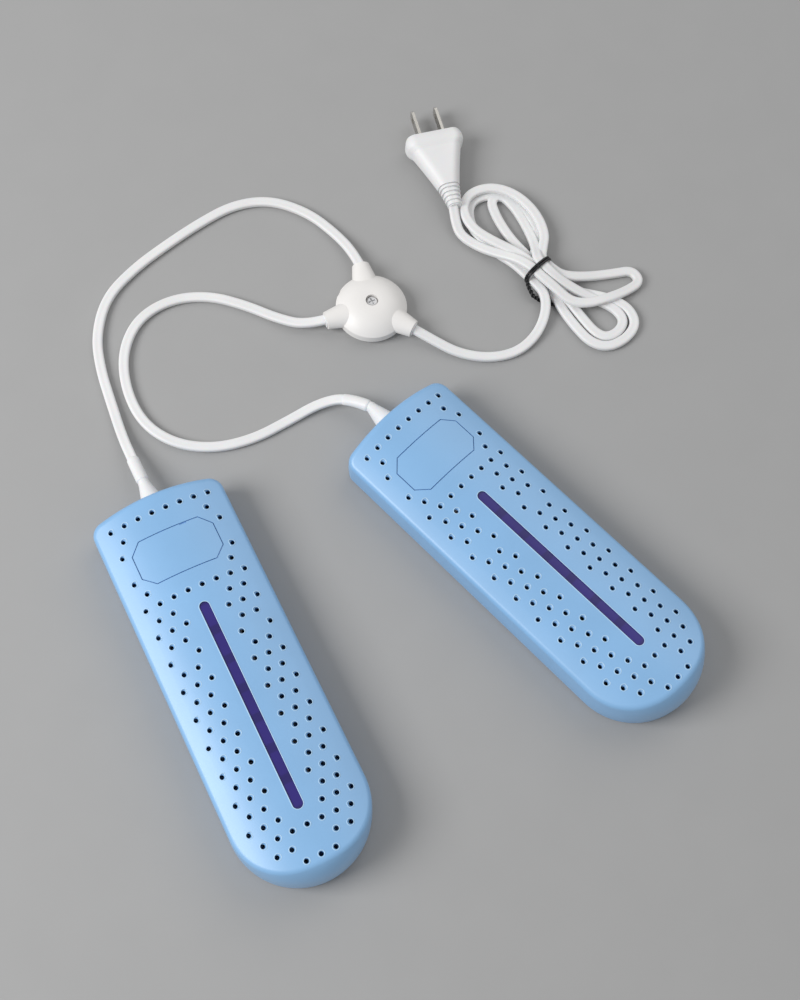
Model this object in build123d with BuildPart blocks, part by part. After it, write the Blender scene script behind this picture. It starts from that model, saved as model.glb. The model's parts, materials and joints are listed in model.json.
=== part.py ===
from build123d import *
import os
from math import cos, pi, radians, sin, tan

# Boot dryer: two perforated heater inserts, each on a branch cord, a round junction box
# where the branches meet the mains cord, and a two-blade plug on a tied hank of that cord.
# Millimetres, +Z up, everything lying on the plane z = 0.  The left insert runs along Y
# with its toe towards -Y, and the origin is under its middle.

os.makedirs("parts", exist_ok=True)

# ---- insert: driving dimensions ------------------------------------------------------
HALF_WIDTH = 32.4          # half the width of the sole outline
CORD_END_Y = 97.0          # middle of the flat end where the cord leaves
TOE_CENTRE_Y = -64.6       # centre of the full-round toe
END_BOW = 2.5              # how far the cord end bows out
CORNER_RADIUS = 6.5        # plan corners at the cord end
HEIGHT = 27.0              # highest point of the crowned top, at the toe
CROWN_HEIGHT = 25.1        # top of the crown in the middle of the insert
PARTING = 8.5              # height of the joint between the two shells
WALL = 1.8
CROSS_RADIUS = 76.8        # crown across the insert
CROWN_SLOPE = 0.0195       # the crown falls this much per mm towards the cord end
TOP_ROUND = 3.0
TOE_LEAN_Z = 11.0          # above this height the toe wall leans back in a quarter ellipse
TOE_LEAN_RISE = 17.0       # upright half axis of that ellipse
TOE_LEAN_DEPTH = 10.0      # its level half axis at the tip of the toe
BASE_ROUND = 2.4
SEAM_STEP = 0.2            # the lower shell is this much smaller at the parting line
LOWER_DRAFT = 3.0          # degrees

# ---- insert: holes -------------------------------------------------------------------
COLUMN_STEP = 3.5          # holes alternate between odd and even columns
ROW_STEP = 7.0
MIDDLE_ROW = 4.5           # the row number that falls on y = 0
HOLE_RADIUS = 1.1
RIM_RADIUS = 2.0           # cone that countersinks each top hole, half a mm above the top
CORD_END_ROWS = {-8: (1, 3, 5, 7), -7: (6,), -6: (7,), -4: (7,), -3: (6,), -2: (1, 3, 5, 7)}
BOSS_ROW = {2: (3, 7)}
TOE_ROWS = {15: (0, 2, 4, 6), 16: (3, 5), 17: (0, 2)}
EVEN_COLUMNS = (3, 5, 7)
ODD_COLUMNS = (4, 6)

# ---- insert: light window and badge --------------------------------------------------
WINDOW_WIDTH = 5.2
WINDOW_TOP_Y = 35.0        # centres of the window's round ends
WINDOW_TOE_Y = -63.8
WINDOW_SINK = 0.5
BADGE_WIDTH = 40.6
BADGE_LENGTH = 22.9
BADGE_Y = 65.8
BADGE_CHAMFER = 5.5
BADGE_DEPTH = 1.0
BADGE_GAP = 0.45

# ---- insert: fastening and inner parts -----------------------------------------------
BOSS_PLACES = ((-17.5, 17.5), (17.5, 17.5), (-14.0, 66.0), (14.0, 66.0), (0.0, -80.5))
BOSS_RADIUS = 3.5
COUNTERBORE_RADIUS = 2.8
COUNTERBORE_DEPTH = 4.0
LED_POSTS = ((-6.3, 32.0), (6.3, 32.0), (-6.3, -58.0), (6.3, -58.0))
LED_BOARD_Z = 17.0
HEATER_POSTS = ((-6.0, 38.0), (6.0, 38.0), (-6.0, -52.0), (6.0, -52.0))
PLATE_Z = 9.0
PLATE_THICKNESS = 0.8
CASE_WIDTH = 22.0
CASE_LENGTH = 58.0
CASE_HEIGHT = 6.0
CLAMP_Y = 85.0
CLAMP_SCREW_X = 7.6

# ---- cords and strain reliefs --------------------------------------------------------
CORD_RADIUS = 2.3          # round stand-in for a flat twin cord 5.4 wide and 3.6 thick
RELIEF_BALL = 2.8          # ball end of a strain relief, on its flexing point
RELIEF_BALL_Y = 108.8
CORD_GAP = 0.4             # from a cord's flat end to the piece it enters
RADIUS_SHARE = 0.45        # of the shorter run, used by each arc

# ---- junction box --------------------------------------------------------------------
BOX_CENTRE = (141.6, 150.7)
BOX_RADIUS = 18.1
BOX_HEIGHT = 12.6
BOX_PARTING = 5.7
BOX_WALL = 1.7
STUB_ROOT = (7.0, 5.2)      # half width and half height inside the box
STUB_TIP = (4.5, 4.3)       # half width and half height at the cord
STUB_BORE = 3.35
STUB_REACH = 24.5
GROMMET_PROUD = 0.5
STUB_ANGLES = (77.0, 174.0, -55.5)   # left branch, right branch, mains cord

# ---- plug ----------------------------------------------------------------------------
PLUG_FACE = (215.9, 228.6)           # middle of the face that the blades stand on
PLUG_HEADING = -11.0                 # degrees from +Y
PLUG_AXIS_Z = 7.2
BLADE_SPACING = 12.7
BLADE_WIDTH = 6.3
BLADE_THICKNESS = 1.5
BLADE_REACH = 17.5
PLUG_LENGTH = 44.0

# ---- where the pieces lie ------------------------------------------------------------
LEFT_PLACE = Location((0, 0, 0))
RIGHT_PLACE = Location((150.35, -4.1, 0), (0, 0, 18.4))
TIE_CENTRE = (229.5, 134.0, 6.2)
TIE_HEADING = 16.9                   # degrees, line across the tied bundle
BUNDLE_WIDTH = 14.4
BUNDLE_HEIGHT = 9.0


def save(piece, label):
    """Label one finished piece and write its STEP file."""
    piece.label = label
    export_step(piece, f"parts/{label}.step")


# ======================================================================================
# Shared forms of an insert
# ======================================================================================
def sole_outline(height, inset, toe_pull=0.0):
    """Sketch the sole outline at a height: bowed cord end, straight sides, round toe."""
    half = HALF_WIDTH - inset
    toe_y = TOE_CENTRE_Y + toe_pull
    end_y = CORD_END_Y - inset
    corner_y = end_y - END_BOW
    with BuildSketch(Plane.XY.offset(height)) as outline:
        with BuildLine():
            ThreePointArc((-half, corner_y), (0, end_y), (half, corner_y))
            Line((half, corner_y), (half, toe_y))
            ThreePointArc((half, toe_y), (0, toe_y - half), (-half, toe_y))
            Line((-half, toe_y), (-half, corner_y))
        make_face()
        fillet(outline.vertices().group_by(Axis.Y)[-1], CORNER_RADIUS - inset)
    return outline.sketch


def upper_block(inset, lean_depth):
    """Solid inside the upper shell's walls: upright sides, toe leaning back as it rises."""
    sections = []
    for angle in [radians(degrees) for degrees in (0, 16, 32, 48, 64, 78)]:
        level = TOE_LEAN_Z + TOE_LEAN_RISE * sin(angle)
        sections.append(sole_outline(level, inset, lean_depth * (1 - cos(angle))))
    with BuildPart() as block:
        extrude(sole_outline(PARTING, inset), amount=TOE_LEAN_Z - PARTING)
        loft(sections)
    return block.part


def crown_height(x, y):
    """Height of the crowned top above a point of the plan."""
    across = CROSS_RADIUS - (CROSS_RADIUS**2 - x**2) ** 0.5
    return CROWN_HEIGHT - CROWN_SLOPE * y - across


def crowned_block(drop):
    """Solid under the crowned surface lowered by drop: an arc across, falling towards the cord."""
    half_width = 40.0
    half_length = 120.0
    arc_drop = CROSS_RADIUS - (CROSS_RADIUS**2 - half_width**2) ** 0.5
    start = Plane(origin=(0, -half_length, crown_height(0, -half_length) - drop),
                  x_dir=(1, 0, 0), z_dir=(0, -1, CROWN_SLOPE))
    with BuildPart() as block:
        with BuildSketch(start):
            with BuildLine():
                ThreePointArc((-half_width, -arc_drop), (0, 0), (half_width, -arc_drop))
                Line((half_width, -arc_drop), (half_width, -45.0))
                Line((half_width, -45.0), (-half_width, -45.0))
                Line((-half_width, -45.0), (-half_width, -arc_drop))
            make_face()
        extrude(amount=-2 * half_length)
    return block.part


def hole_places(rows):
    """Centres of the holes of the given rows, mirrored about the centre line."""
    places = []
    for row, columns in rows.items():
        y = (MIDDLE_ROW - row) * ROW_STEP
        for column in columns:
            sides = (-1, 1) if column else (1,)
            places += [(side * column * COLUMN_STEP, y) for side in sides]
    return places


def stadium(height, width):
    """Sketch the window's outline, a slot along the centre line, at a height."""
    middle = (WINDOW_TOP_Y + WINDOW_TOE_Y) / 2
    with BuildSketch(Plane.XY.offset(height)) as slot:
        with Locations((0, middle)):
            SlotCenterToCenter(WINDOW_TOP_Y - WINDOW_TOE_Y, width, rotation=90)
    return slot.sketch


def octagon(height, inset):
    """Sketch the badge's outline, a rectangle with cut corners, at a height."""
    with BuildSketch(Plane.XY.offset(height)) as outline:
        with Locations((0, BADGE_Y)):
            Rectangle(BADGE_WIDTH - 2 * inset, BADGE_LENGTH - 2 * inset)
        chamfer(outline.vertices(), BADGE_CHAMFER - 0.6 * inset)
    return outline.sketch


def screw(head_radius, head_height, shank_radius, shank_length):
    """Cross-head screw pointing down, its head standing on z = 0."""
    with BuildPart() as body:
        with BuildSketch(Plane.XY):
            Circle(head_radius)
        extrude(amount=head_height)
        fillet(body.edges().group_by(Axis.Z)[-1], 0.5 * head_height)
        with BuildSketch(Plane.XY):
            Circle(shank_radius)
        extrude(amount=-shank_length)
        with BuildSketch(Plane.XY.offset(head_height)):
            Rectangle(1.25 * head_radius, 0.3 * head_radius)
            Rectangle(0.3 * head_radius, 1.25 * head_radius)
        extrude(amount=-0.55 * head_height, mode=Mode.SUBTRACT)
    return body.part


middle_rows = {row: EVEN_COLUMNS if row % 2 == 0 else ODD_COLUMNS for row in range(-1, 15)}
middle_rows |= BOSS_ROW
lower_rows = {row: columns for row, columns in CORD_END_ROWS.items() if row > -8}
upper_holes = hole_places(CORD_END_ROWS | middle_rows | TOE_ROWS)
lower_holes = hole_places(lower_rows | middle_rows | TOE_ROWS)

top_surface = crowned_block(0)
ceiling = crowned_block(WALL)
badge_floor = crowned_block(BADGE_DEPTH)
boss_tops = crowned_block((WALL + BADGE_DEPTH) / 2)

# ======================================================================================
# Upper shell
# ======================================================================================
with BuildPart() as upper_cavity:
    add(upper_block(WALL, 1.25 * TOE_LEAN_DEPTH))
    add(ceiling, mode=Mode.INTERSECT)

with BuildPart() as badge_pocket:
    extrude(octagon(PARTING, 0), amount=HEIGHT)
    add(badge_floor, mode=Mode.SUBTRACT)

with BuildPart() as upper_posts:
    with BuildSketch(Plane.XY.offset(PARTING)):
        with Locations(*BOSS_PLACES):
            Circle(BOSS_RADIUS)
    extrude(amount=HEIGHT)
    with BuildSketch(Plane.XY.offset(LED_BOARD_Z + 1.2)):
        with Locations(*LED_POSTS):
            Circle(1.4)
    extrude(amount=HEIGHT)
    add(boss_tops, mode=Mode.INTERSECT)
    with BuildSketch(Plane.XY.offset(PARTING)):
        with Locations(*BOSS_PLACES):
            Circle(1.35)
    extrude(amount=8.0, mode=Mode.SUBTRACT)

with BuildPart() as upper_shell:
    add(upper_block(0, TOE_LEAN_DEPTH))
    add(top_surface, mode=Mode.INTERSECT)
    fillet(upper_shell.faces().sort_by(Axis.Z)[-1].edges(), TOP_ROUND)
    add(upper_cavity.part, mode=Mode.SUBTRACT)
    add(upper_posts.part)
    add(badge_pocket.part, mode=Mode.SUBTRACT)
    extrude(stadium(PARTING, WINDOW_WIDTH), amount=HEIGHT, mode=Mode.SUBTRACT)
    with BuildSketch(Plane.XY.offset(PARTING - 1.0)):
        with Locations(*upper_holes):
            Circle(HOLE_RADIUS)
    extrude(amount=HEIGHT, mode=Mode.SUBTRACT)
    with Locations(*[(x, y, crown_height(x, y)) for x, y in upper_holes]):
        Cone(RIM_RADIUS - 1.0, RIM_RADIUS, 1.0, mode=Mode.SUBTRACT)
    # half-round seat of the strain relief in the end wall
    with BuildSketch(Plane.XZ.offset(-CORD_END_Y - 5)):
        with Locations((0, PARTING)):
            Circle(5.05)
    extrude(amount=12, mode=Mode.SUBTRACT)

# ======================================================================================
# Lower shell
# ======================================================================================
with BuildPart() as lower_lip:
    extrude(sole_outline(PARTING - 1.0, WALL + 0.1), amount=2.6)
    extrude(sole_outline(PARTING - 1.0, WALL + 0.9), amount=2.6, mode=Mode.SUBTRACT)
    with Locations((0, CORD_END_Y, PARTING)):
        Box(18, 12, 8, mode=Mode.SUBTRACT)

with BuildPart() as lower_shell:
    extrude(sole_outline(PARTING, SEAM_STEP), amount=-PARTING, taper=LOWER_DRAFT)
    fillet(lower_shell.faces().sort_by(Axis.Z)[0].edges(), BASE_ROUND)
    extrude(sole_outline(WALL, WALL + 0.8), amount=HEIGHT, mode=Mode.SUBTRACT)
    add(lower_lip.part)
    # screw bosses, heater posts and the saddle under the cord
    with BuildSketch(Plane.XY.offset(WALL / 2)):
        with Locations(*BOSS_PLACES):
            Circle(BOSS_RADIUS)
    extrude(amount=PARTING - WALL / 2)
    with BuildSketch(Plane.XY.offset(WALL / 2)):
        with Locations(*HEATER_POSTS):
            Circle(2.4)
    extrude(amount=PLATE_Z - WALL / 2)
    with BuildSketch(Plane.XY.offset(WALL / 2)):
        with Locations((0, CLAMP_Y)):
            Rectangle(20.0, 5.0)
    extrude(amount=7.2 - WALL / 2)
    with Locations(*[(x, y, 0) for x, y in BOSS_PLACES]):
        Cylinder(COUNTERBORE_RADIUS, 2 * COUNTERBORE_DEPTH, mode=Mode.SUBTRACT)
        Cylinder(1.6, 4 * PARTING, mode=Mode.SUBTRACT)
    with Locations(*[(x, y, PLATE_Z) for x, y in HEATER_POSTS]):
        Cylinder(1.05, 10.0, mode=Mode.SUBTRACT)
    with Locations((-CLAMP_SCREW_X, CLAMP_Y, 7.2), (CLAMP_SCREW_X, CLAMP_Y, 7.2)):
        Cylinder(1.05, 8.0, mode=Mode.SUBTRACT)
    with BuildSketch(Plane.XY):
        with Locations(*lower_holes):
            Circle(HOLE_RADIUS)
    extrude(amount=WALL + 0.5, mode=Mode.SUBTRACT)
    # groove for the cord, and half-round seat of the strain relief
    with BuildSketch(Plane.XZ.offset(-CLAMP_Y - 5)):
        with Locations((0, PARTING)):
            Circle(CORD_RADIUS + 0.05)
    extrude(amount=10, mode=Mode.SUBTRACT)
    with BuildSketch(Plane.XZ.offset(-CORD_END_Y - 5)):
        with Locations((0, PARTING)):
            Circle(5.05)
    extrude(amount=12, mode=Mode.SUBTRACT)

# ======================================================================================
# Light window, badge, light board
# ======================================================================================
window_top = crowned_block(WINDOW_SINK)
window_bottom = crowned_block(3.0)
flange_top = crowned_block(WALL + 0.05)

with BuildPart() as window_flange:
    extrude(stadium(PARTING, WINDOW_WIDTH + 4.0), amount=HEIGHT)
    add(flange_top, mode=Mode.INTERSECT)
    add(window_bottom, mode=Mode.SUBTRACT)

with BuildPart() as light_window:
    extrude(stadium(PARTING, WINDOW_WIDTH - 0.1), amount=HEIGHT)
    add(window_top, mode=Mode.INTERSECT)
    add(window_bottom, mode=Mode.SUBTRACT)
    add(window_flange.part)

with BuildPart() as badge_plate:
    extrude(octagon(PARTING, BADGE_GAP), amount=HEIGHT)
    add(top_surface, mode=Mode.INTERSECT)
    add(badge_floor, mode=Mode.SUBTRACT)

# the left badge has a pry notch in the edge nearer the cord
with BuildPart() as notched_badge:
    add(badge_plate.part)
    with Locations((7.2, BADGE_Y + BADGE_LENGTH / 2, crown_height(7.2, BADGE_Y))):
        Box(3.4, 2.0, 4.0, mode=Mode.SUBTRACT)

with BuildPart() as led_board:
    with BuildSketch(Plane.XY.offset(LED_BOARD_Z)):
        with Locations((0, (WINDOW_TOP_Y + WINDOW_TOE_Y) / 2)):
            RectangleRounded(16.4, 102.0, 2.0)
    extrude(amount=1.2)

with BuildPart() as uv_leds:
    with BuildSketch(Plane.XY.offset(LED_BOARD_Z + 1.2)):
        with Locations((0, (WINDOW_TOP_Y + WINDOW_TOE_Y) / 2)):
            with GridLocations(1, 15.0, 1, 6):
                RectangleRounded(3.4, 3.4, 0.4)
    extrude(amount=1.1)
    fillet(uv_leds.edges().group_by(Axis.Z)[-1], 0.3)

# ======================================================================================
# Heater: spreader plate over an aluminium case with ceramic chips between two electrodes
# ======================================================================================
CASE_TOP = PLATE_Z
CASE_MIDDLE = CASE_TOP - CASE_HEIGHT / 2

with BuildPart() as heat_plate:
    with BuildSketch(Plane.XY.offset(PLATE_Z)):
        with Locations((0, -8)):
            Rectangle(26.0, 104.0)
        with Locations((0, -8)):
            with GridLocations(18.0, 13.0, 2, 6):
                SlotOverall(8.0, 2.4, rotation=90, mode=Mode.SUBTRACT)
        with Locations(*HEATER_POSTS):
            Circle(1.5, mode=Mode.SUBTRACT)
    extrude(amount=PLATE_THICKNESS)
    with Locations((-12.6, -8, PLATE_Z + 2.0), (12.6, -8, PLATE_Z + 2.0)):
        Box(0.8, 104.0, 4.0)

with BuildPart() as heater_screws:
    for x, y in HEATER_POSTS:
        with Locations((x, y, PLATE_Z + PLATE_THICKNESS)):
            add(screw(2.2, 1.5, 1.0, 5.5))

with BuildPart() as ptc_case:
    with Locations((0, 0, CASE_MIDDLE)):
        Box(CASE_WIDTH, CASE_LENGTH, CASE_HEIGHT)
    fillet(ptc_case.edges().filter_by(Axis.Y), 1.2)
    with Locations((0, 0, CASE_MIDDLE)):
        Box(CASE_WIDTH - 2.4, CASE_LENGTH, 4.0, mode=Mode.SUBTRACT)

with BuildPart() as insulation_sleeve:
    with Locations((0, 0, CASE_MIDDLE)):
        Box(CASE_WIDTH - 3.0, CASE_LENGTH - 1.0, 3.9)
        Box(CASE_WIDTH - 3.8, CASE_LENGTH - 1.0, 3.3, mode=Mode.SUBTRACT)

with BuildPart() as ptc_chips:
    with Locations((0, 0, CASE_MIDDLE)):
        with GridLocations(1, 18.0, 1, 3):
            Box(14.0, 16.0, 2.0)

with BuildPart() as electrodes:
    with Locations((0, 2.0, CASE_MIDDLE - 1.3), (0, -2.0, CASE_MIDDLE + 1.3)):
        Box(15.0, 54.0, 0.6)
    with Locations((0, 31.5, CASE_MIDDLE - 1.3), (0, -31.5, CASE_MIDDLE + 1.3)):
        Box(4.0, 6.0, 0.6)

FUSE_X = 9.0
FUSE_Z = 12.3
with BuildPart() as thermal_fuse:
    with BuildSketch(Plane.XZ.offset(6.0)):
        with Locations((FUSE_X, FUSE_Z)):
            Circle(1.9)
    extrude(amount=-12.0)
    fillet(thermal_fuse.edges(), 0.5)
    with BuildSketch(Plane.XZ.offset(12.0)):
        with Locations((FUSE_X, FUSE_Z)):
            Circle(0.5)
    extrude(amount=-24.0)

with BuildPart() as fuse_clip:
    with Locations((FUSE_X, 0, FUSE_Z + 0.05)):
        Box(5.2, 5.0, 5.1)
    with Locations((FUSE_X, 0, FUSE_Z - 0.25)):
        Box(4.0, 5.0, 4.5, mode=Mode.SUBTRACT)
    with Locations((FUSE_X - 4.1, 0, FUSE_Z - 2.2)):
        Box(3.2, 5.0, 0.6)


# ======================================================================================
# Swept tubes: cords and wires
# ======================================================================================
def corner_radii(points):
    """Largest even radius at each corner of a route: a share of the shorter run beside it."""
    radii = []
    for before, corner, after in zip(points, points[1:], points[2:]):
        arriving = Vector(*corner) - Vector(*before)
        leaving = Vector(*after) - Vector(*corner)
        turn = arriving.get_angle(leaving)
        shorter = min(arriving.length, leaving.length)
        radii.append(RADIUS_SHARE * shorter / tan(radians(turn / 2)))
    return radii


def tube(points, radius):
    """Round tube along straight runs joined by tangent arcs."""
    radii = corner_radii(points)
    with BuildPart() as body:
        with BuildLine() as route:
            FilletPolyline(*points, radius=radii)
        with BuildSketch(Plane(route.line @ 0, z_dir=route.line % 0)):
            Circle(radius)
        sweep()
    length = sum(edge.length for edge in route.edges())
    return body.part, length, radii


def cord(label, points):
    """Make, report and save one free stretch of cord."""
    body, length, radii = tube(points, CORD_RADIUS)
    expected = pi * CORD_RADIUS**2 * length
    print(f"{label}: length {length:.1f}, volume / expected {body.volume / expected:.4f}")
    print("   radii", [round(radius, 1) for radius in radii])
    save(body, label)


SLEEVE_X = 2.3
WIRE_START_Y = 69.0
live_wire = ((SLEEVE_X, WIRE_START_Y - 0.3, 7.7), (3.0, 58.0, 8.6), (9.3, 47.0, 12.0), (10.0, 30.0, 12.5),
             (FUSE_X, 12.3, FUSE_Z))
neutral_wire = ((-SLEEVE_X, WIRE_START_Y - 0.3, 7.7), (-1.6, 58.0, 6.9), (-0.5, 46.0, 5.4),
                (0.0, 34.8, CASE_MIDDLE - 1.3))
return_wire = ((FUSE_X, -12.3, FUSE_Z), (10.0, -30.0, 12.5), (9.2, -50.0, 12.2), (4.0, -64.5, 11.4),
               (0.6, -67.5, 7.6), (0.0, -52.0, 6.9), (0.0, -34.8, CASE_MIDDLE + 1.3))
led_feed = ((SLEEVE_X, WIRE_START_Y - 0.3, 9.6), (4.5, 58.0, 11.5), (4.0, 46.0, 16.5), (3.4, 36.9, 17.6))
led_return = ((-SLEEVE_X, WIRE_START_Y - 0.3, 9.6), (-4.5, 58.0, 11.5), (-4.0, 46.0, 16.5),
              (-3.4, 36.9, 17.6))

thick_wires = [tube(points, 0.8)[0] for points in (live_wire, neutral_wire, return_wire)]
thin_wires = [tube(points, 0.5)[0] for points in (led_feed, led_return)]
with BuildPart() as lead_wires:
    for wire in thick_wires + thin_wires:
        add(wire)

with BuildPart() as crimp_sleeves:
    with BuildSketch(Plane.XZ.offset(-WIRE_START_Y)):
        with Locations((-SLEEVE_X, PARTING), (SLEEVE_X, PARTING)):
            Circle(2.0)
    extrude(amount=-9.0)

with BuildPart() as cord_stub:
    with BuildSketch(Plane.XZ.offset(-WIRE_START_Y - 9.0)):
        with Locations((0, PARTING)):
            Circle(CORD_RADIUS)
    extrude(amount=-11.6)

with BuildPart() as cord_clamp:
    with Locations((0, CLAMP_Y, 11.4)):
        Box(20.0, 5.0, 2.6)
    fillet(cord_clamp.edges().filter_by(Axis.Z), 1.2)
    with BuildSketch(Plane.XZ.offset(-CLAMP_Y - 5)):
        with Locations((0, PARTING)):
            Circle(CORD_RADIUS + 0.05)
    extrude(amount=10, mode=Mode.SUBTRACT)
    with Locations((-CLAMP_SCREW_X, CLAMP_Y, 11.4), (CLAMP_SCREW_X, CLAMP_Y, 11.4)):
        Cylinder(1.3, 8.0, mode=Mode.SUBTRACT)

with BuildPart() as clamp_screws:
    for x in (-CLAMP_SCREW_X, CLAMP_SCREW_X):
        with Locations((x, CLAMP_Y, 12.7)):
            add(screw(2.2, 1.5, 1.0, 9.0))

with BuildPart() as shell_screws:
    for x, y in BOSS_PLACES:
        with Locations(Location((x, y, COUNTERBORE_DEPTH), (180, 0, 0))):
            add(screw(2.6, 1.8, 1.3, 11.5))

# tapered strain relief: flange behind the wall, neck in the wall, cone, ball end
with BuildPart() as strain_relief:
    with BuildSketch(Plane.XY.offset(PARTING)):
        with BuildLine():
            flank = RELIEF_BALL_Y - 0.4
            Polyline((0, 89.8), (3.4, 89.8), (3.4, 92.6), (6.4, 92.6), (6.4, 94.2), (5.0, 94.2),
                     (5.0, 97.1), (5.5, 97.1), (5.1, 99.5), (RELIEF_BALL, flank),
                     (RELIEF_BALL, RELIEF_BALL_Y))
            RadiusArc((RELIEF_BALL, RELIEF_BALL_Y), (0, RELIEF_BALL_Y + RELIEF_BALL), -RELIEF_BALL)
            Line((0, RELIEF_BALL_Y + RELIEF_BALL), (0, 89.8))
        make_face()
    revolve(axis=Axis((0, 0, PARTING), (0, 1, 0)))

# ======================================================================================
# Both inserts
# ======================================================================================
insert_pieces = {
    "upper_shell": upper_shell.part,
    "lower_shell": lower_shell.part,
    "light_window": light_window.part,
    "led_board": led_board.part,
    "uv_leds": uv_leds.part,
    "heat_plate": heat_plate.part,
    "heater_screws": heater_screws.part,
    "ptc_case": ptc_case.part,
    "insulation_sleeve": insulation_sleeve.part,
    "ptc_chips": ptc_chips.part,
    "electrodes": electrodes.part,
    "thermal_fuse": thermal_fuse.part,
    "fuse_clip": fuse_clip.part,
    "lead_wires": lead_wires.part,
    "crimp_sleeves": crimp_sleeves.part,
    "cord_stub": cord_stub.part,
    "cord_clamp": cord_clamp.part,
    "clamp_screws": clamp_screws.part,
    "shell_screws": shell_screws.part,
    "strain_relief": strain_relief.part,
}
for label, piece in insert_pieces.items():
    save(piece.moved(LEFT_PLACE), f"left_{label}")
    save(piece.moved(RIGHT_PLACE), f"right_{label}")
save(notched_badge.part.moved(LEFT_PLACE), "left_badge_plate")
save(badge_plate.part.moved(RIGHT_PLACE), "right_badge_plate")

# ======================================================================================
# Junction box
# ======================================================================================
box_plane = Plane(origin=(*BOX_CENTRE, 0))


def stub_plane(angle, reach):
    """Plane across a cord stub, facing outwards, at a distance from the box's centre."""
    heading = (cos(radians(angle)), sin(radians(angle)), 0)
    x, y = BOX_CENTRE
    origin = (x + reach * heading[0], y + reach * heading[1], BOX_PARTING)
    return Plane(origin=origin, x_dir=(-heading[1], heading[0], 0), z_dir=heading)


def stub_forms():
    """Outsides of the three cord stubs, flattened where they leave the box and tapering."""
    with BuildPart() as stubs:
        for angle in STUB_ANGLES:
            with BuildSketch(stub_plane(angle, 13.0)) as root:
                Ellipse(*STUB_ROOT)
            with BuildSketch(stub_plane(angle, STUB_REACH)) as tip:
                Ellipse(*STUB_TIP)
            loft([root.sketch, tip.sketch])
    return stubs.part


def stub_rounds(radius, inner_reach, outer_reach):
    """Round bars along the three stubs, from one distance from the centre to another."""
    with BuildPart() as stubs:
        for angle in STUB_ANGLES:
            with BuildSketch(stub_plane(angle, inner_reach)):
                Circle(radius)
            extrude(amount=outer_reach - inner_reach)
    return stubs.part


with BuildPart() as box_form:
    with BuildSketch(Plane(origin=(*BOX_CENTRE, 0), x_dir=(1, 0, 0), z_dir=(0, -1, 0))):
        with BuildLine():
            Polyline((0, BOX_HEIGHT), (0, 0.4), (BOX_RADIUS - 2.0, 0.4), (BOX_RADIUS, 2.4),
                     (BOX_RADIUS, BOX_PARTING + 0.8))
            ThreePointArc((BOX_RADIUS, BOX_PARTING + 0.8), (13.4, 10.5), (0, BOX_HEIGHT))
        make_face()
    revolve(axis=Axis((*BOX_CENTRE, 0), (0, 0, 1)))
    add(stub_forms())

with BuildPart() as box_hollow:
    with BuildSketch(Plane(origin=(*BOX_CENTRE, 0), x_dir=(1, 0, 0), z_dir=(0, -1, 0))):
        with BuildLine():
            Polyline((0, BOX_HEIGHT - BOX_WALL), (0, 0.4 + BOX_WALL), (BOX_RADIUS - 3.0, 0.4 + BOX_WALL),
                     (BOX_RADIUS - BOX_WALL, 3.6), (BOX_RADIUS - BOX_WALL, BOX_PARTING + 0.6))
            ThreePointArc((BOX_RADIUS - BOX_WALL, BOX_PARTING + 0.6), (12.3, 9.1),
                          (0, BOX_HEIGHT - BOX_WALL))
        make_face()
    revolve(axis=Axis((*BOX_CENTRE, 0), (0, 0, 1)))
    add(stub_rounds(STUB_BORE, 12.0, STUB_REACH + 1.0))

with BuildPart() as junction_base:
    add(box_form.part)
    add(box_hollow.part, mode=Mode.SUBTRACT)
    with BuildSketch(box_plane.offset(BOX_PARTING)):
        Circle(40.0)
    extrude(amount=20.0, mode=Mode.SUBTRACT)
    with BuildSketch(box_plane.offset(1.0)):
        Circle(3.0)
    extrude(amount=BOX_PARTING - 1.0)
    with BuildSketch(box_plane.offset(BOX_PARTING)):
        Circle(1.35)
    extrude(amount=-3.4, mode=Mode.SUBTRACT)

with BuildPart() as junction_cover:
    add(box_form.part)
    add(box_hollow.part, mode=Mode.SUBTRACT)
    with BuildSketch(box_plane.offset(BOX_PARTING)):
        Circle(40.0)
    extrude(amount=-20.0, mode=Mode.SUBTRACT)
    with BuildSketch(box_plane.offset(BOX_PARTING)):
        Circle(4.6)
    extrude(amount=BOX_HEIGHT - BOX_PARTING - 1.0)
    with BuildSketch(box_plane.offset(BOX_HEIGHT - 2.4)):
        Circle(3.2)
    extrude(amount=5.0, mode=Mode.SUBTRACT)
    with BuildSketch(box_plane.offset(BOX_PARTING)):
        Circle(1.6)
    extrude(amount=10.0, mode=Mode.SUBTRACT)
    # pry notch in the rim
    with BuildSketch(box_plane.offset(BOX_PARTING)):
        with Locations((BOX_RADIUS * cos(radians(131)), BOX_RADIUS * sin(radians(131)))):
            Rectangle(3.2, 3.4, rotation=131)
    extrude(amount=1.8, mode=Mode.SUBTRACT)

with BuildPart() as junction_screw:
    with Locations((*BOX_CENTRE, BOX_HEIGHT - 2.4)):
        add(screw(2.8, 1.8, 1.3, 7.0))

with BuildPart() as junction_grommets:
    add(stub_rounds(STUB_BORE - 0.05, 16.6, STUB_REACH + GROMMET_PROUD))

with BuildPart() as splice_caps:
    for angle in (20.0, 232.0):
        x = BOX_CENTRE[0] + 9.8 * cos(radians(angle))
        y = BOX_CENTRE[1] + 9.8 * sin(radians(angle))
        cap_plane = Plane(origin=(x, y, 4.9), x_dir=(0, 0, 1),
                          z_dir=(-sin(radians(angle)), cos(radians(angle)), 0))
        with BuildSketch(cap_plane.offset(-5.0)):
            Circle(2.4)
        extrude(amount=10.0)
    fillet(splice_caps.edges(), 0.5)

save(junction_cover.part, "junction_cover")
save(junction_base.part, "junction_base")
save(junction_screw.part, "junction_screw")
save(junction_grommets.part, "junction_grommets")
save(splice_caps.part, "junction_splice_caps")

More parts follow.
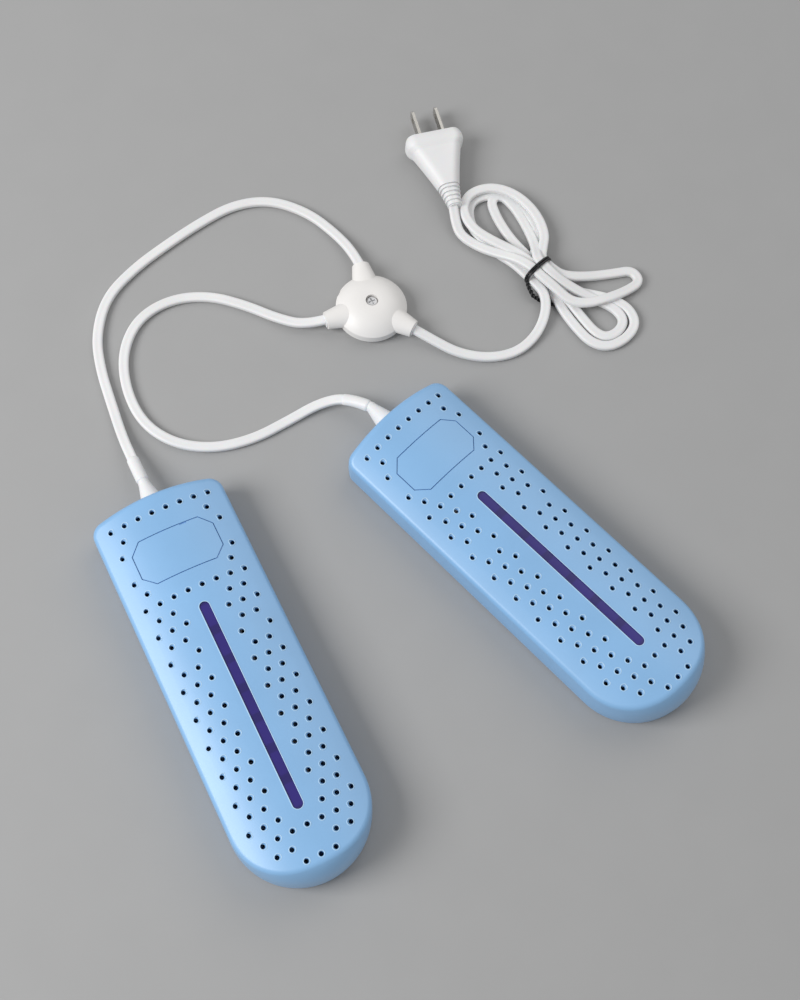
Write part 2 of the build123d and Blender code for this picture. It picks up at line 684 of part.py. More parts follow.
# ======================================================================================
# Plug, made in its own frame: x across, y towards the blade tips, z up from the axis
# ======================================================================================
PLUG_PLACE = Location((*PLUG_FACE, PLUG_AXIS_Z), (0, 0, PLUG_HEADING))


def plug_section(y, width, height, corner):
    """Rounded rectangle across the plug at a distance along its axis."""
    with BuildSketch(Plane(origin=(0, y, 0), x_dir=(1, 0, 0), z_dir=(0, -1, 0))) as section:
        RectangleRounded(width, height, corner)
    return section.sketch


NECK_RINGS = 5
NECK_START = -32.0
with BuildPart() as plug_body:
    loft([plug_section(0, 29.0, 13.2, 4.5), plug_section(-1.5, 30.6, 14.2, 5.2),
          plug_section(-6.5, 30.2, 14.2, 5.2)])
    loft([plug_section(-6.5, 30.2, 14.2, 5.2), plug_section(-9.0, 26.4, 13.0, 5.0)])
    loft([plug_section(-9.0, 26.4, 13.0, 5.0), plug_section(-20.0, 19.0, 12.0, 5.0),
          plug_section(NECK_START, 11.8, 10.2, 4.8)])
    loft([plug_section(NECK_START, 9.4, 8.2, 3.9), plug_section(-PLUG_LENGTH, 6.2, 5.0, 2.4)])
    for ring in range(NECK_RINGS):
        share = (ring + 0.55) / NECK_RINGS
        middle = NECK_START - share * (PLUG_LENGTH + NECK_START)
        width = 11.6 - 4.4 * share
        height = 10.4 - 4.0 * share
        extrude(plug_section(middle + 0.65, width, height, 0.45 * height), amount=1.3)

with BuildPart() as blade_slots:
    with Locations((-BLADE_SPACING / 2, 0, 0), (BLADE_SPACING / 2, 0, 0)):
        Box(BLADE_THICKNESS, 24.0, BLADE_WIDTH)

with BuildPart() as plug_blades:
    with Locations((-BLADE_SPACING / 2, BLADE_REACH / 2 - 6.0, 0),
                   (BLADE_SPACING / 2, BLADE_REACH / 2 - 6.0, 0)):
        Box(BLADE_THICKNESS, BLADE_REACH + 12.0, BLADE_WIDTH)
    tips = plug_blades.edges().group_by(Axis.Y)[-1]
    chamfer(tips.filter_by(Axis.X), 1.2)
    with BuildSketch(Plane.YZ.offset(-BLADE_SPACING)):
        with Locations((BLADE_REACH - 4.6, 0)):
            Circle(1.5)
    extrude(amount=2 * BLADE_SPACING, mode=Mode.SUBTRACT)

with BuildPart() as plug_moulding:
    add(plug_body.part)
    add(blade_slots.part, mode=Mode.SUBTRACT)

save(plug_moulding.part.moved(PLUG_PLACE), "plug_body")
save(plug_blades.part.moved(PLUG_PLACE), "plug_blades")

# ======================================================================================
# Cords, lying on z = 0 between their glands
# ======================================================================================
def relief_exit(place, heading):
    """Point where a branch cord starts, off the ball of a strain relief."""
    ball = (place * Location((0, RELIEF_BALL_Y, PARTING))).position
    reach = RELIEF_BALL + CORD_GAP
    return (ball.X + reach * cos(radians(heading)), ball.Y + reach * sin(radians(heading)), ball.Z)


def stub_exit(index):
    """Point where a cord meets the grommet of a junction box stub."""
    return tuple(stub_plane(STUB_ANGLES[index], STUB_REACH + GROMMET_PROUD + CORD_GAP).origin)


plug_exit = tuple((PLUG_PLACE * Location((0, -PLUG_LENGTH - CORD_GAP, 0))).position)

left_cord_route = [
    relief_exit(LEFT_PLACE, 90), (0.0, 123.0, 6.9), (0.5, 138.0, 3.3), (2.6, 157.0, 2.4),
    (5.4, 177.0, 2.4), (11.5, 196.5, 2.4), (24.5, 212.5, 2.4), (42.5, 222.5, 2.4),
    (62.5, 228.8, 2.4), (83.0, 233.4, 2.4), (103.5, 236.0, 2.4), (122.0, 230.5, 2.4),
    (136.0, 216.5, 2.4), (144.2, 199.5, 2.9), (149.1, 183.9, 4.6), stub_exit(0),
]
right_cord_route = [
    relief_exit(RIGHT_PLACE, 126), (108.6, 109.6, 6.9), (95.5, 114.2, 3.6), (77.5, 113.0, 2.4),
    (57.5, 110.6, 2.4), (37.5, 115.2, 2.4), (21.5, 126.5, 2.4), (12.8, 143.5, 2.4),
    (13.0, 163.5, 2.4), (19.8, 182.0, 2.4), (34.0, 195.0, 2.4), (53.0, 197.6, 2.4),
    (71.0, 191.2, 2.4), (85.0, 178.4, 2.4), (96.5, 165.0, 2.6), (107.4, 155.6, 4.2), stub_exit(1),
]
main_lead_route = [
    stub_exit(2), (161.4, 121.9, 4.0), (171.0, 110.0, 2.6), (184.0, 101.4, 2.4),
    (198.5, 98.6, 2.4), (212.5, 102.6, 3.0), (222.8, 111.6, 4.6), (227.0, 121.6, 5.8),
    (228.6, 129.4, 6.2),
]
main_tail_route = [
    plug_exit, (205.2, 177.6, 6.6), (205.6, 166.4, 4.2), (212.4, 156.6, 3.2), (219.0, 148.4, 3.6),
]
cord("left_cord", left_cord_route)
cord("right_cord", right_cord_route)
cord("main_lead", main_lead_route)
cord("main_tail", main_tail_route)

# Hank of the mains cord: two lobes lying flat and a tied waist between them
UPPER_LOBE = ((236.4, 139.0), (245.5, 150.0), (249.0, 167.0), (244.0, 183.0), (231.5, 192.8),
              (219.5, 192.6), (212.4, 178.0), (211.0, 168.0), (215.0, 156.0), (222.4, 142.0))
LOWER_LOBE = ((240.5, 132.0), (256.0, 124.4), (270.0, 119.6), (278.4, 114.4), (278.4, 106.4),
              (268.0, 101.6), (266.6, 90.0), (257.0, 80.6), (244.0, 79.2), (234.4, 86.6),
              (230.6, 100.0), (226.6, 127.0))
LOBE_HEIGHT = 7.2

tie_plane = Plane(origin=TIE_CENTRE, x_dir=(cos(radians(TIE_HEADING)), sin(radians(TIE_HEADING)), 0),
                  z_dir=(-sin(radians(TIE_HEADING)), cos(radians(TIE_HEADING)), 0))

with BuildPart() as main_hank:
    for lobe in (UPPER_LOBE, LOWER_LOBE):
        with BuildSketch(Plane.XY.offset(0.1)) as lobe_outline:
            with BuildLine():
                Polyline(*lobe, close=True)
            make_face()
            fillet(lobe_outline.vertices(), 2.0)
        extrude(amount=LOBE_HEIGHT)
    with BuildSketch(tie_plane.offset(-9.0)):
        RectangleRounded(BUNDLE_WIDTH, BUNDLE_HEIGHT, 4.0)
    extrude(amount=18.0)

TIE_WIRE = 0.8
with BuildPart() as twist_tie:
    with BuildLine() as tie_ring:
        half_width = BUNDLE_WIDTH / 2 + TIE_WIRE
        half_height = BUNDLE_HEIGHT / 2 + TIE_WIRE
        ring = [(-half_width, 0), (-half_width, half_height), (half_width, half_height),
                (half_width, -half_height), (-half_width, -half_height), (-half_width, -0.05)]
        ring_points = [tie_plane.from_local_coords((x, y, 0)) for x, y in ring]
        FilletPolyline(*ring_points, radius=4.4)
    with BuildSketch(Plane(tie_ring.line @ 0, z_dir=tie_ring.line % 0)):
        Circle(TIE_WIRE)
    sweep()

save(main_hank.part, "main_hank")
save(twist_tie.part, "twist_tie")
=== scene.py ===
import json
import math
import bmesh
import bpy
from mathutils import Matrix, Vector


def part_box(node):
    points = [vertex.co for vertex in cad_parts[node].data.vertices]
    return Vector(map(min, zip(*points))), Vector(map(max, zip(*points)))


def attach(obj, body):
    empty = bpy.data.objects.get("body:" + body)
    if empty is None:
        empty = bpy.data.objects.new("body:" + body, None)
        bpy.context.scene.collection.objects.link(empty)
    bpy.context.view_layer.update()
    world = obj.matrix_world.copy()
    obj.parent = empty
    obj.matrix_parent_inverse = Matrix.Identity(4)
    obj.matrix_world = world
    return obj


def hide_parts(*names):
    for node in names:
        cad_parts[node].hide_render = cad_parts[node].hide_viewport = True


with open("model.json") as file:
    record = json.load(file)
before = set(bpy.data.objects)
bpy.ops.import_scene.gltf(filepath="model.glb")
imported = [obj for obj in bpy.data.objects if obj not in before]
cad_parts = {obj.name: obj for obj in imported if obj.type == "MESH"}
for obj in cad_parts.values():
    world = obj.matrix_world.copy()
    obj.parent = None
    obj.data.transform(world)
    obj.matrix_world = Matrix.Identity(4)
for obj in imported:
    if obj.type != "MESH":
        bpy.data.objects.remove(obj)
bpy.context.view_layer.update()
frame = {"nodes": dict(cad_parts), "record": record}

MM = 0.001


# ---------------------------------------------------------------- camera
def point(x, y, z):
    return Vector((x * MM, y * MM, z * MM))


azimuth, tilt, roll = math.radians(-35.16), math.radians(67.756), math.radians(9.279)
forward = Vector((-math.sin(azimuth) * math.cos(tilt), math.cos(azimuth) * math.cos(tilt), -math.sin(tilt)))
side = Vector((math.cos(azimuth), math.sin(azimuth), 0))
upward = side.cross(forward)
side, upward = (side * math.cos(roll) + upward * math.sin(roll),
                upward * math.cos(roll) - side * math.sin(roll))
camera_data = bpy.data.cameras.new("camera")
camera_data.lens = 53.48
camera_data.sensor_width = 36
camera_data.clip_start = 0.01
camera = bpy.data.objects.new("camera", camera_data)
bpy.context.scene.collection.objects.link(camera)
camera.matrix_world = (Matrix.Translation(point(-48.509, -171.516, 668.299))
                       @ Matrix((side, upward, -forward)).transposed().to_4x4())
bpy.context.scene.camera = camera
bpy.context.scene.view_settings.view_transform = "Standard"


# ---------------------------------------------------------------- materials
def material(name, color, rough, noise_scale=900.0, tint=0.06, bump=0.1, rough_spread=0.1,
             metallic=0.0, coat=0.0, subsurface=0.0):
    """Principled material with mottled colour and roughness and a fine moulded grain."""
    made = bpy.data.materials.new(name)
    made.use_nodes = True
    nodes, links = made.node_tree.nodes, made.node_tree.links
    shader = nodes["Principled BSDF"]
    place = nodes.new("ShaderNodeTexCoord")
    grain = nodes.new("ShaderNodeTexNoise")
    grain.inputs["Scale"].default_value = noise_scale
    grain.inputs["Detail"].default_value = 6
    cloud = nodes.new("ShaderNodeTexNoise")
    cloud.inputs["Scale"].default_value = 38
    cloud.inputs["Detail"].default_value = 4
    links.new(place.outputs["Object"], grain.inputs["Vector"])
    links.new(place.outputs["Object"], cloud.inputs["Vector"])
    ramp = nodes.new("ShaderNodeValToRGB")
    ramp.color_ramp.elements[0].position = 0.3
    ramp.color_ramp.elements[1].position = 0.72
    ramp.color_ramp.elements[0].color = [c * (1 - tint) for c in color] + [1]
    ramp.color_ramp.elements[1].color = [min(1, c * (1 + tint)) for c in color] + [1]
    links.new(cloud.outputs["Fac"], ramp.inputs["Fac"])
    links.new(ramp.outputs["Color"], shader.inputs["Base Color"])
    spread = nodes.new("ShaderNodeMapRange")
    spread.inputs["To Min"].default_value = max(0.02, rough - rough_spread / 2)
    spread.inputs["To Max"].default_value = min(1, rough + rough_spread / 2)
    links.new(grain.outputs["Fac"], spread.inputs["Value"])
    links.new(spread.outputs["Result"], shader.inputs["Roughness"])
    relief = nodes.new("ShaderNodeBump")
    relief.inputs["Strength"].default_value = bump
    relief.inputs["Distance"].default_value = 0.0001
    links.new(grain.outputs["Fac"], relief.inputs["Height"])
    links.new(relief.outputs["Normal"], shader.inputs["Normal"])
    shader.inputs["Metallic"].default_value = metallic
    shader.inputs["Coat Weight"].default_value = coat
    shader.inputs["Coat Roughness"].default_value = 0.36
    shader.inputs["Subsurface Weight"].default_value = subsurface
    shader.inputs["Subsurface Scale"].default_value = 0.002
    return made


BLUE = (0.25, 0.49, 0.8)
finishes = {
    "insert_blue": material("moulded_blue", BLUE, 0.42, 1500, 0.03, 0.28, 0.12, coat=0.7),
    "window_indigo": material("indigo_window", (0.03, 0.019, 0.19), 0.3, 500, 0.12, 0.03, 0.05),
    "cord_white": material("white_cord_pvc", (0.86, 0.86, 0.865), 0.44, 900, 0.03, 0.22, 0.12,
                           subsurface=0.05),
    "box_white": material("warm_white_abs", (0.88, 0.86, 0.84), 0.4, 1300, 0.025, 0.25, 0.1),
    "nickel": material("nickel_plate", (0.6, 0.58, 0.54), 0.28, 700, 0.08, 0.12, 0.2, metallic=1.0),
    "screw_steel": material("zinc_screw", (0.72, 0.72, 0.73), 0.38, 900, 0.12, 0.2, 0.2, metallic=0.55),
    "heater_aluminium": material("bare_aluminium", (0.75, 0.75, 0.76), 0.34, 600, 0.05, 0.15, 0.2,
                                 metallic=1.0),
    "board_green": material("solder_mask", (0.02, 0.14, 0.06), 0.35, 800, 0.15, 0.1, 0.1, coat=0.3),
    "led_ceramic": material("led_package", (0.75, 0.72, 0.5), 0.3, 900, 0.08, 0.1, 0.1, coat=0.3),
    "chip_ceramic": material("heater_chip", (0.09, 0.085, 0.08), 0.6, 1200, 0.2, 0.3, 0.2),
    "sleeve_film": material("amber_film", (0.5, 0.2, 0.02), 0.22, 500, 0.1, 0.08, 0.1, coat=0.4),
    "brass": material("brass_strip", (0.62, 0.43, 0.16), 0.3, 700, 0.1, 0.15, 0.2, metallic=1.0),
    "wire_grey": material("silicone_wire", (0.35, 0.35, 0.36), 0.5, 900, 0.06, 0.2, 0.1),
    "crimp_clear": material("nylon_crimp", (0.6, 0.62, 0.65), 0.35, 900, 0.05, 0.15, 0.1),
    # a lighter blue than the moulding: a painted highlight along the vent and window edges
    "rim_highlight_blue": material("rim_painted_highlight", (0.46, 0.68, 0.9), 0.34, 1500, 0.03, 0.2, 0.1),
    "tie_black": material("black_tie", (0.012, 0.012, 0.013), 0.36, 1100, 0.2, 0.2, 0.15),
}


def window_material(side):
    """The dark window of one insert, with its emitters showing through as darker squares."""
    made = finishes["window_indigo"].copy()
    made.name = f"indigo_window_{side}"
    nodes, links = made.node_tree.nodes, made.node_tree.links
    shader = nodes["Principled BSDF"]
    low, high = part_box(f"{side}_uv_leds")
    middle = (Vector(low) + Vector(high)) / 2
    hinge = next(joint for joint in frame["record"]["behaviour"]["joints"] if joint["name"].startswith(side))
    along_insert = Vector(hinge["pos_m"]) - middle
    turn = math.atan2(-along_insert.x, along_insert.y)
    place = nodes.new("ShaderNodeTexCoord")
    shift = nodes.new("ShaderNodeVectorMath")
    shift.operation = "SUBTRACT"
    shift.inputs[1].default_value = middle
    links.new(place.outputs["Object"], shift.inputs[0])
    spin = nodes.new("ShaderNodeVectorRotate")
    spin.rotation_type = "Z_AXIS"
    spin.inputs["Angle"].default_value = -turn
    links.new(shift.outputs[0], spin.inputs["Vector"])
    parts = nodes.new("ShaderNodeSeparateXYZ")
    links.new(spin.outputs["Vector"], parts.inputs[0])
    cell = nodes.new("ShaderNodeMath")
    cell.operation = "PINGPONG"
    cell.inputs[1].default_value = 0.0075
    links.new(parts.outputs["Y"], cell.inputs[0])
    along = nodes.new("ShaderNodeMapRange")
    along.interpolation_type = "SMOOTHSTEP"
    along.inputs["From Min"].default_value = 0.0048
    along.inputs["From Max"].default_value = 0.006
    along.inputs["To Max"].default_value = 0.45
    links.new(cell.outputs[0], along.inputs["Value"])
    mixed = nodes.new("ShaderNodeMix")
    mixed.data_type = "RGBA"
    before = shader.inputs["Base Color"].links[0].from_socket
    links.new(along.outputs["Result"], mixed.inputs["Factor"])
    links.new(before, mixed.inputs["A"])
    mixed.inputs["B"].default_value = (0.012, 0.009, 0.07, 1)
    links.new(mixed.outputs["Result"], shader.inputs["Base Color"])
    return made


for entry in frame["record"]["subparts"]:
    node = frame["nodes"][entry["node"]]
    node.data.materials.clear()
    if entry["node"].endswith("light_window"):
        node.data.materials.append(window_material(entry["node"].split("_")[0]))
    else:
        node.data.materials.append(finishes[entry["material_slot"]])


# ---------------------------------------------------------------- routes and tubes
def route_line(points):
    """Points along the smooth curve that has these control points."""
    data = bpy.data.curves.new("route", "CURVE")
    data.dimensions = "3D"
    spline = data.splines.new("NURBS")
    spline.points.add(len(points) - 1)
    for target, (x, y, z) in zip(spline.points, points):
        target.co = (x * MM, y * MM, z * MM, 1)
    spline.order_u = 3
    spline.use_endpoint_u = True
    spline.resolution_u = 10
    carrier = bpy.data.objects.new("route", data)
    bpy.context.scene.collection.objects.link(carrier)
    bpy.context.view_layer.update()
    mesh = bpy.data.meshes.new_from_object(carrier.evaluated_get(bpy.context.evaluated_depsgraph_get()))
    line = [vertex.co.copy() for vertex in mesh.vertices]
    bpy.data.objects.remove(carrier)
    bpy.data.meshes.remove(mesh)
    return line


def line_length(line):
    return sum((b - a).length for a, b in zip(line, line[1:]))


def frames_along(line):
    """Sideways and upward directions at every point of the line, sideways kept level."""
    made = []
    for index in range(len(line)):
        before, after = line[max(0, index - 1)], line[min(len(line) - 1, index + 1)]
        tangent = (after - before).normalized()
        across = Vector((0, 0, 1)).cross(tangent).normalized()
        made.append((across, tangent.cross(across)))
    return made


def twin_section(width, height, count=28):
    """Outline of a flat twin cord: two round cores side by side with a shallow valley between."""
    outline = []
    for step in range(count):
        angle = 2 * math.pi * step / count
        c, s = math.cos(angle), math.sin(angle)
        flat = (abs(c) ** 4 + abs(s) ** 4) ** 0.25
        valley = 1 - 0.1 * math.exp(-((c / 0.28) ** 2))
        outline.append((width / 2 * c / flat, height / 2 * s / flat * valley))
    return outline


def tube_mesh(name, line, outlines, body, slot):
    """Mesh tube whose cross-section at each point of the line comes from outlines."""
    mesh = bmesh.new()
    rings = []
    for (across, up), centre, outline in zip(frames_along(line), line, outlines):
        rings.append([mesh.verts.new(centre + across * u + up * v) for u, v in outline])
    for first, second in zip(rings, rings[1:]):
        for k in range(len(first)):
            j = (k + 1) % len(first)
            mesh.faces.new((first[k], first[j], second[j], second[k]))
    mesh.faces.new(rings[0][::-1])
    mesh.faces.new(rings[-1])
    bmesh.ops.recalc_face_normals(mesh, faces=mesh.faces)
    for face in mesh.faces:
        face.smooth = len(face.verts) == 4
    data = bpy.data.meshes.new(name)
    mesh.to_mesh(data)
    mesh.free()
    data.materials.append(finishes[slot])
    piece = bpy.data.objects.new(name, data)
    bpy.context.scene.collection.objects.link(piece)
    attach(piece, body)
    return piece


CORD_WIDTH, CORD_HEIGHT = 5.0 * MM, 3.0 * MM


def flat_cord(name, points):
    line = route_line(points)
    section = twin_section(CORD_WIDTH, CORD_HEIGHT)
    return tube_mesh(name, line, [section] * len(line), "cord_set", "cord_white"), line


def collar(name, line, start, end, first, last):
    """Tapered sleeve over a cord from one distance along it to another, with soft ends."""
    centres, sections, travelled = [], [], 0.0
    for a, b in zip(line, line[1:]):
        step = (b - a).length
        for k in range(4):
            s = travelled + step * k / 4
            if start <= s <= end:
                share = (s - start) / (end - start)
                width = first[0] + (last[0] - first[0]) * share
                height = first[1] + (last[1] - first[1]) * share
                close = min(1.0, math.sqrt(max(0.0, min(share, 1 - share)) / 0.08) * 0.35 + 0.65)
                centres.append(a.lerp(b, k / 4))
                sections.append([(width / 2 * close * math.cos(t), height / 2 * close * math.sin(t))
                                 for t in [2 * math.pi * n / 24 for n in range(24)]])
        travelled += step
    return tube_mesh(name, centres, sections, "cord_set", "cord_white")


# ---------------------------------------------------------------- cords
left_points = [
    (0.0, 109.6, 8.5), (0.0, 123.0, 6.6), (0.5, 138.0, 2.9), (2.6, 157.0, 1.7),
    (5.0, 177.0, 1.7), (10.2, 195.5, 1.7), (23.0, 213.5, 1.7), (42.5, 223.2, 1.7),
    (62.5, 229.2, 1.7), (83.0, 234.2, 1.7), (103.5, 237.2, 1.7), (122.5, 232.2, 1.7),
    (137.3, 217.0, 1.7), (144.6, 199.5, 2.2), (147.6, 184.5, 4.2), (147.0, 173.5, 5.7),
]
right_points = [
    (115.55, 99.8, 8.5), (108.6, 109.6, 6.5), (95.5, 114.2, 3.0), (77.5, 112.4, 1.7),
    (57.5, 110.6, 1.7), (37.5, 114.4, 1.7), (21.0, 125.5, 1.7), (11.8, 142.5, 1.7),
    (12.4, 164.5, 1.7), (19.8, 183.5, 1.7), (34.0, 196.3, 1.7), (53.0, 199.0, 1.7),
    (71.0, 192.6, 1.7), (85.0, 180.2, 1.7), (96.5, 166.4, 2.0), (107.4, 156.2, 3.8), (118.5, 153.8, 5.7),
]

# the hank runs straight through the tie; each strand has its own place across and above its middle
tie_heading = math.radians(16.9)
tie_axis = Vector((-math.sin(tie_heading), math.cos(tie_heading), 0))
tie_across = Vector((math.cos(tie_heading), math.sin(tie_heading), 0))
tie_centre = Vector((229.5, 134.0, 6.2))
slots = ((-5.8, -1.2), (-2.7, -3.0), (2.7, -3.0), (2.7, 3.0), (0.0, 0.1), (5.8, 0.6), (-2.7, 3.0))


def through_tie(index, upwards):
    """Two points that carry a strand straight through the tie in its own place."""
    u, w = slots[index]
    middle = tie_centre + tie_across * u + Vector((0, 0, w))
    ends = [middle - tie_axis * 3.6, middle + tie_axis * 3.6]
    return [tuple(end) for end in (ends if upwards else ends[::-1])]


main_points = [
    (155.2, 131.0, 5.7), (161.8, 122.4, 3.6), (171.0, 110.4, 1.8), (184.0, 101.4, 1.7),
    (198.5, 98.2, 1.7), (212.0, 102.4, 2.2), (222.0, 111.0, 4.0), (226.4, 120.5, 5.6),
    *through_tie(0, True),
    (221.2, 144.5, 3.0), (216.4, 154.0, 2.0), (212.2, 165.5, 1.8), (212.0, 177.0, 1.8),
    (217.5, 187.4, 1.8), (229.0, 188.0, 1.8), (239.0, 180.0, 1.8), (243.2, 167.5, 1.8),
    (241.8, 154.0, 1.8), (234.2, 145.6, 2.4),
    *through_tie(1, False),
    (231.6, 123.5, 2.2), (239.8, 119.0, 1.8), (249.0, 112.4, 1.8), (257.4, 105.8, 1.8),
    (263.6, 97.0, 1.8), (262.6, 87.0, 1.8), (253.6, 81.6, 1.8), (242.6, 81.2, 1.8),
    (235.6, 87.4, 1.8), (232.9, 98.5, 1.8), (231.7, 109.5, 1.8), (231.6, 120.5, 2.2),
    *through_tie(2, True),
    (229.6, 147.0, 2.4), (227.6, 155.5, 1.9), (226.6, 164.5, 1.8), (226.6, 174.5, 1.8),
    (228.4, 184.2, 1.8), (235.6, 184.6, 1.8), (238.2, 174.5, 1.8), (238.4, 164.0, 1.8),
    (237.4, 154.0, 2.4), (234.6, 145.6, 5.8),
    *through_tie(3, False),
    (237.0, 123.2, 7.0), (244.0, 114.6, 4.0), (250.6, 107.6, 1.9), (256.6, 100.0, 1.8),
    (258.0, 91.8, 1.8), (252.2, 86.8, 1.8), (244.6, 86.4, 1.8), (240.4, 91.6, 1.8),
    (238.6, 101.5, 1.8), (237.2, 111.0, 2.4), (234.8, 120.5, 4.6),
    *through_tie(4, True),
    (226.0, 146.0, 6.0), (221.6, 153.0, 5.1), (215.4, 162.0, 4.9), (210.4, 171.5, 4.9),
    (210.8, 183.8, 4.9), (219.0, 191.0, 4.9), (231.8, 189.8, 4.9), (241.4, 180.5, 4.9),
    (245.6, 166.5, 4.9), (244.0, 152.5, 5.1), (237.8, 144.4, 6.2),
    *through_tie(5, False),
    (239.4, 126.6, 6.0), (246.6, 123.2, 4.4), (256.5, 120.4, 2.4), (267.4, 117.6, 1.8),
    (276.4, 115.4, 1.8), (276.8, 107.4, 1.9), (266.0, 105.2, 3.4), (254.5, 105.0, 5.2),
    (243.6, 106.4, 5.6), (235.6, 111.4, 6.0), (231.6, 121.5, 8.0),
    *through_tie(6, True),
    (221.6, 145.0, 7.4), (216.4, 151.8, 4.4), (209.4, 161.0, 2.2), (203.8, 171.0, 2.4),
    (204.4, 179.0, 4.6), (206.9, 186.5, 7.2),
]

left_cord, left_line = flat_cord("left_branch_cord", left_points)
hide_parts("left_cord")
right_cord, right_line = flat_cord("right_branch_cord", right_points)
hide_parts("right_cord")
main_cord, main_line = flat_cord("mains_cord", main_points)
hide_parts("main_lead", "main_hank", "main_tail")

BOOT_LENGTH = 15 * MM
BOOT_START, BOOT_END = (6.2 * MM, 6.0 * MM), (5.9 * MM, 3.9 * MM)
left_boot = collar("left_boot_tail", left_line, 0.0, BOOT_LENGTH, BOOT_START, BOOT_END)
right_boot = collar("right_boot_tail", right_line, 0.0, BOOT_LENGTH, BOOT_START, BOOT_END)


# ---------------------------------------------------------------- twist tie
def wire(name, points, radius):
    """Round wire along a smooth curve."""
    line = route_line(points)
    ring = [(radius * math.cos(t), radius * math.sin(t)) for t in [2 * math.pi * n / 10 for n in range(10)]]
    rings = [ring] * len(line)
    return tube_mesh(name, line, rings, "cord_set", "tie_black")


def tie_point(u, w, along):
    return tuple(tie_centre + tie_across * u + Vector((0, 0, w)) + tie_axis * along)


LOOP_HALF_WIDTH, LOOP_HALF_HEIGHT = 8.6, 5.4   # mm, of the tie's rounded-square loop
SQUARENESS = 2.6                               # exponent of the superellipse the loop follows
LOOP_STEPS = 16
LOOP_RADIUS, TAIL_RADIUS = 0.65 * MM, 0.55 * MM
loop = []
for turn in range(2):
    for step in range(LOOP_STEPS):
        angle = math.radians(210) - 2 * math.pi * step / LOOP_STEPS
        c, s = math.cos(angle), math.sin(angle)
        size = (abs(c) ** SQUARENESS + abs(s) ** SQUARENESS) ** (-1 / SQUARENESS)
        height = max(LOOP_HALF_HEIGHT * s * size, -LOOP_HALF_HEIGHT)
        loop.append(tie_point(LOOP_HALF_WIDTH * c * size, height, 0.7 - 1.35 * turn + 0.06 * step))
tie_loop = wire("twist_tie_loop", loop, LOOP_RADIUS)
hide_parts("twist_tie")

# the tie's free end: two strands twisted about the line that runs down and under a cord strand
TWIST_STEPS, TWIST_PER_STEP, TWIST_REACH = 32, 1.25, 0.75
tail_line = [Vector(p) for p in ((222.0, 132.4, 6.4), (221.0, 128.7, 4.6), (221.0, 123.2, 3.4),
                                 (223.7, 119.4, 2.0), (227.2, 116.9, 1.4), (230.4, 113.4, 1.6))]
for phase in (0, 1):
    strand = []
    for step in range(TWIST_STEPS + 1):
        share = step / TWIST_STEPS * (len(tail_line) - 1)
        index = min(len(tail_line) - 2, int(share))
        centre = tail_line[index].lerp(tail_line[index + 1], share - index)
        angle = math.pi * phase + step * TWIST_PER_STEP
        strand.append((centre.x + TWIST_REACH * math.cos(angle), centre.y,
                       centre.z + TWIST_REACH * math.sin(angle)))
    wire(f"twist_tie_tail_{phase + 1}", strand, TAIL_RADIUS)

# ---------------------------------------------------------------- vent rims and window edges
CROWN_DROP = 8 * MM        # openings lie within this depth of a shell's highest point
BEAD = 0.22 * MM
BARE_VENT = 1.3 * MM       # an outline smaller than this is a vent without a countersink
VENT_BEAD = 1.45 * MM      # the bead's radius round such a vent


def opening_edges(node):
    """Closed outlines where the crowned top of an upper shell turns down into its vents and window.

    Each outline is a list of (place, upward normal) read from the shell's own mesh."""
    mesh = bmesh.new()
    mesh.from_mesh(node.data)
    bmesh.ops.remove_doubles(mesh, verts=mesh.verts, dist=0.002 * MM)
    mesh.normal_update()
    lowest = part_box(node.name)[1][2] - CROWN_DROP
    onward = {}
    for edge in mesh.edges:
        if len(edge.link_faces) != 2 or min(vert.co.z for vert in edge.verts) < lowest:
            continue
        top, turned = sorted(edge.link_faces, key=lambda face: -face.normal.z)
        if top.normal.z > 0.9 and turned.normal.z < 0.86:
            for near, far in (tuple(edge.verts), tuple(edge.verts)[::-1]):
                onward.setdefault(near, []).append((far, top.normal.copy()))
    outlines, seen = [], set()
    for first in onward:
        if first in seen:
            continue
        outline, here = [], first
        while here is not None:
            seen.add(here)
            outline.append((here.co.copy(), onward[here][0][1]))
            here = next((far for far, _ in onward[here] if far not in seen), None)
        outlines.append(outline)
    mesh.free()
    return outlines


def is_opening(outline):
    """A vent is a small round outline, the window a long narrow one; the badge is neither."""
    places = [place for place, _ in outline]
    reach = max((place - places[0]).length for place in places)
    narrow = line_length(places) < 2.3 * reach
    return len(outline) > 7 and (reach < 4 * MM or 60 * MM < reach < 115 * MM and narrow)


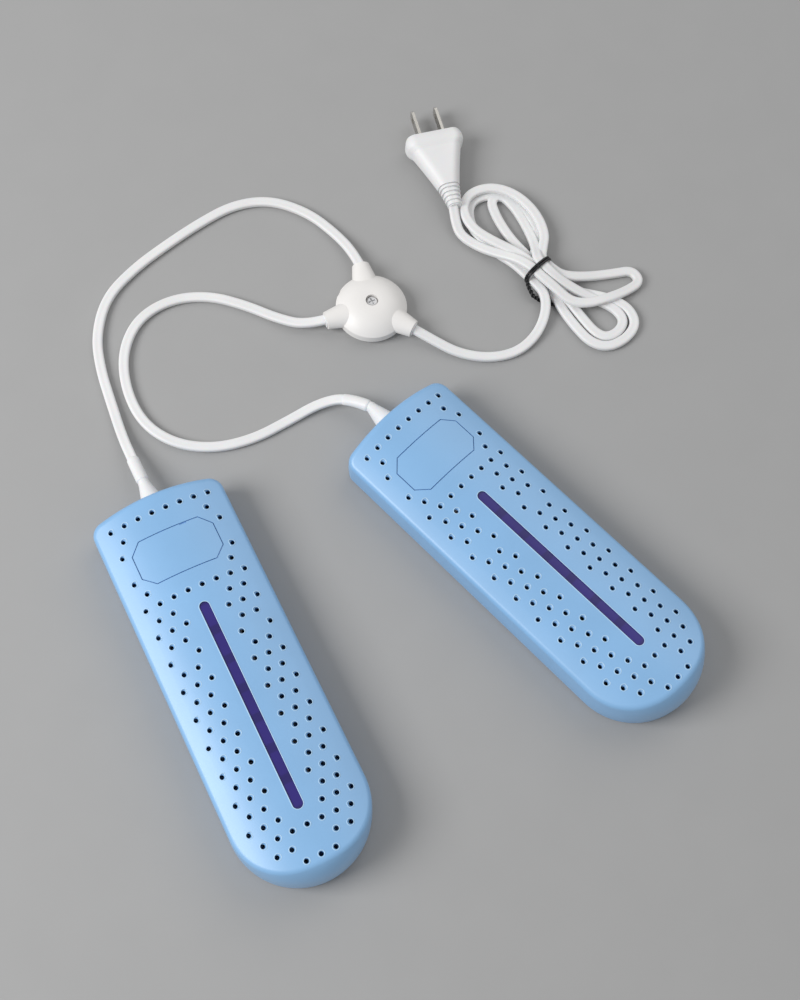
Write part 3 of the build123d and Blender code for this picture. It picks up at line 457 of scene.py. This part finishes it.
def edge_beads(name, node, body):
    """Fine raised moulded beads along a shell's vent and window edges, lighter blue as a painted highlight.
    """
    mesh = bmesh.new()
    for outline in filter(is_opening, opening_edges(node)):
        count = len(outline)
        middle = sum((place for place, _ in outline), Vector()) / count
        radius = sum((place - middle).length for place, _ in outline) / count
        spread = VENT_BEAD / radius if radius < BARE_VENT else 1.0
        outline = [(middle + (place - middle) * spread, normal) for place, normal in outline]
        rings = []
        for k, (place, normal) in enumerate(outline):
            heading = (outline[(k + 1) % count][0] - outline[k - 1][0]).normalized()
            outward = heading.cross(normal)
            ring = []
            for step in range(8):
                angle = 2 * math.pi * step / 8
                ring.append(mesh.verts.new(place + outward * (BEAD * math.cos(angle))
                                           + normal * (0.55 * BEAD * math.sin(angle))))
            rings.append(ring)
        for k in range(count):
            for j in range(8):
                mesh.faces.new((rings[k - 1][j - 1], rings[k - 1][j], rings[k][j], rings[k][j - 1]))
    bmesh.ops.recalc_face_normals(mesh, faces=mesh.faces)
    for face in mesh.faces:
        face.smooth = True
    data = bpy.data.meshes.new(name)
    mesh.to_mesh(data)
    mesh.free()
    data.materials.append(finishes["rim_highlight_blue"])
    piece = bpy.data.objects.new(name, data)
    bpy.context.scene.collection.objects.link(piece)
    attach(piece, body)


for label in ("left", "right"):
    edge_beads(f"{label}_vent_rims", frame["nodes"][f"{label}_upper_shell"], f"{label}_insert")

# ---------------------------------------------------------------- soft edges on the hard pieces
for name in ("left_lower_shell", "right_lower_shell", "left_upper_shell", "right_upper_shell",
             "junction_cover", "junction_base", "plug_body"):
    for polygon in frame["nodes"][name].data.polygons:
        polygon.use_smooth = True
    frame["nodes"][name].data.set_sharp_from_angle(angle=math.radians(32))

# ---------------------------------------------------------------- floor and light
floor_mesh = bpy.data.meshes.new("floor")
floor_mesh.from_pydata([(-8, -8, 0), (8, -8, 0), (8, 8, 0), (-8, 8, 0)], [], [(0, 1, 2, 3)])
floor = bpy.data.objects.new("floor", floor_mesh)
bpy.context.scene.collection.objects.link(floor)
floor_mesh.materials.append(material("pale_floor", (0.4, 0.4, 0.4), 0.9, 60, 0.01, 0.0, 0.05))
floor.location.z = -0.0002

world = bpy.data.worlds.new("studio")
world.use_nodes = True
world.node_tree.nodes["Background"].inputs["Color"].default_value = (1, 1, 1, 1)
world.node_tree.nodes["Background"].inputs["Strength"].default_value = 0.42
bpy.context.scene.world = world


def lamp(name, place, target, size, power):
    data = bpy.data.lights.new(name, "AREA")
    data.size = size
    data.energy = power
    made = bpy.data.objects.new(name, data)
    bpy.context.scene.collection.objects.link(made)
    made.location = place
    made.rotation_euler = (Vector(target) - Vector(place)).to_track_quat("-Z", "Y").to_euler()
    return made


lamp("key", (-1.12, 0.28, 1.02), (0.08, 0.05, 0), 0.8, 17.5)
lamp("fill", (1.2, 0.6, 1.3), (0.08, 0.05, 0), 1.4, 6)
